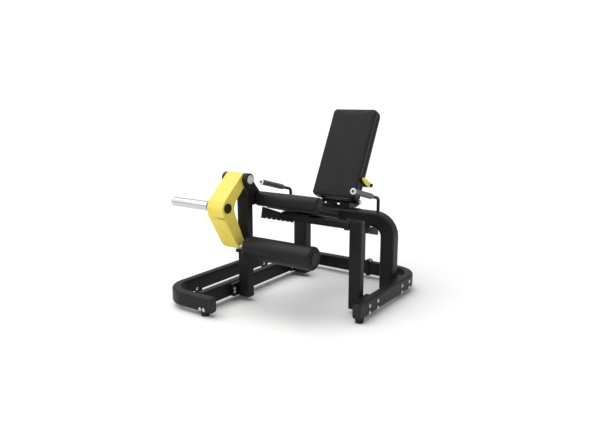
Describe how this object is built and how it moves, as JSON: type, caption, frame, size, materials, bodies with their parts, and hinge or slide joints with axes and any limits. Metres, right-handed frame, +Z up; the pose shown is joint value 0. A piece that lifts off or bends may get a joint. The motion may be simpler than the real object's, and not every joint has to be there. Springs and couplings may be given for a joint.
{
  "type": "leg extension machine",
  "caption": "Seated leg extension machine: tube base, seat with front roll, reclining back pad and a plate-loaded swing arm carrying a padded shin roller.",
  "frame": {"origin": "middle of the footprint, on the floor", "axes": "+Z up, the user faces -Y, +X is on the left hand of the seated user"},
  "size_m": [1.0702, 1.1892, 1.0324],
  "materials": {
    "black_paint": "satin black powder coat",
    "yellow_paint": "semi-gloss yellow powder coat",
    "bright_steel": "polished chrome plate",
    "black_plastic": "moulded, matte",
    "pad_leather": "smooth black upholstery leatherette",
    "foot_rubber": "matte",
    "grip_rubber": "ribbed dark grey"
  },
  "bodies": {
    "frame": {"arch_end_cap": "black_plastic", "arch_frame": "black_paint", "backrest_bracket": "black_paint", "front_cross_tube": "black_paint", "front_left_foot": "foot_rubber", "front_right_foot": "foot_rubber", "front_roll_pad": "pad_leather", "hinge_collar_right": "bright_steel", "hinge_pin": "bright_steel", "inner_base_rail": "black_paint", "left_base_loop": "black_paint", "left_grip": "grip_rubber", "left_grip_cap": "bright_steel", "left_handle_tube": "black_paint", "left_leg": "black_paint", "left_leg_flange": "black_paint", "left_loop_end_cap": "black_plastic", "left_middle_foot": "foot_rubber", "left_rack": "black_paint", "left_upright": "black_paint", "left_upright_flange": "black_paint", "pivot_cap": "bright_steel", "pivot_end_disc": "black_plastic", "pivot_shaft": "bright_steel", "pivot_tower": "black_paint", "rear_column": "black_paint", "rear_left_foot": "foot_rubber", "rear_right_foot": "foot_rubber", "right_base_rail": "black_paint", "right_grip": "grip_rubber", "right_grip_cap": "bright_steel", "right_handle_tube": "black_paint", "right_leg_flange": "black_paint", "right_rack": "black_paint", "right_rail_bolt": "bright_steel", "right_rail_end_cap": "black_plastic", "right_upright": "black_paint", "right_upright_flange": "black_paint", "seat_board": "black_paint", "seat_pad": "pad_leather", "seat_spine": "black_paint", "stop_bracket": "black_paint"},
    "arm": {"swing_arm": "yellow_paint", "left_bearing": "bright_steel", "right_bearing": "bright_steel", "weight_horn": "bright_steel", "horn_collar": "black_plastic", "arm_cap": "black_plastic", "roller_axle": "bright_steel"},
    "roller": {"roller_pad": "pad_leather", "roller_sleeve": "black_plastic", "roller_end_disc": "black_plastic"},
    "backrest": {"backrest_pad": "pad_leather", "backrest_board": "black_plastic", "backrest_stem": "black_paint", "lever_guide": "black_paint"},
    "lever": {"lever_paddle": "yellow_paint", "lever_rod": "bright_steel", "lever_knob": "black_plastic"}
  },
  "joints": [
    {"name": "arm_swing", "type": "hinge", "parent": "frame", "child": "arm", "pos_m": [-0.20115, -0.28314, 0.68], "axis": [-1, 0, 0], "range_deg": [0, 95]},
    {"name": "roller_spin", "type": "hinge", "parent": "arm", "child": "roller", "pos_m": [0.11685, -0.33814, 0.332], "axis": [1, 0, 0], "continuous": true},
    {"name": "backrest_recline", "type": "hinge", "parent": "frame", "child": "backrest", "pos_m": [0.05285, 0.36886, 0.492], "axis": [-1, 0, 0], "range_deg": [-5, 20]},
    {"name": "lever_release", "type": "hinge", "parent": "backrest", "child": "lever", "pos_m": [0.20985, 0.43686, 0.588], "axis": [-1, 0, 0], "range_deg": [0, 18], "stiffness_Nm_per_rad": 1.5, "springref_deg": -5.73}
  ]
}
